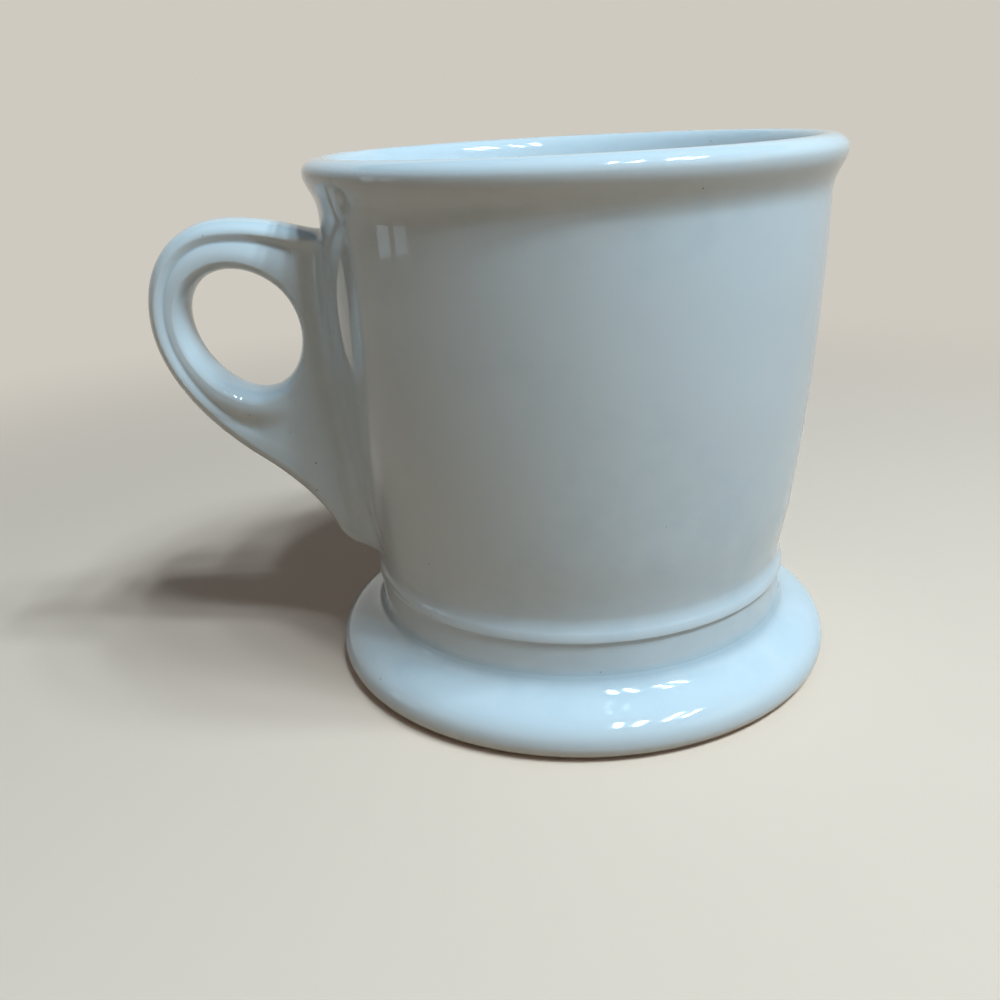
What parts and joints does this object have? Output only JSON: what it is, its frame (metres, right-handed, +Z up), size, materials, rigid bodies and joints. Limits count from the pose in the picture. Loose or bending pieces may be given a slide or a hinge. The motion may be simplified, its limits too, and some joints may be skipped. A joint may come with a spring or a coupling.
{
  "type": "coffee mug",
  "caption": "Footed coffee mug in white glazed ceramic, with a rolled lip, a bowed wall, a bell-shaped foot and a grooved ring handle with a long tail.",
  "frame": {"origin": "on the standing surface, under the middle of the mug and its handle together", "axes": "+Z up along the mug's axis, -X from the mug's axis towards the handle, Y across the handle's thickness"},
  "size_m": [0.1188, 0.0914, 0.09],
  "materials": {
    "glaze": "gloss",
    "slip": "matte"
  },
  "bodies": {
    "root": {"cup_body": "glaze", "foot": "glaze", "handle": "glaze", "foot_slip_joint": "slip", "handle_slip_joint": "slip"}
  },
  "joints": []
}
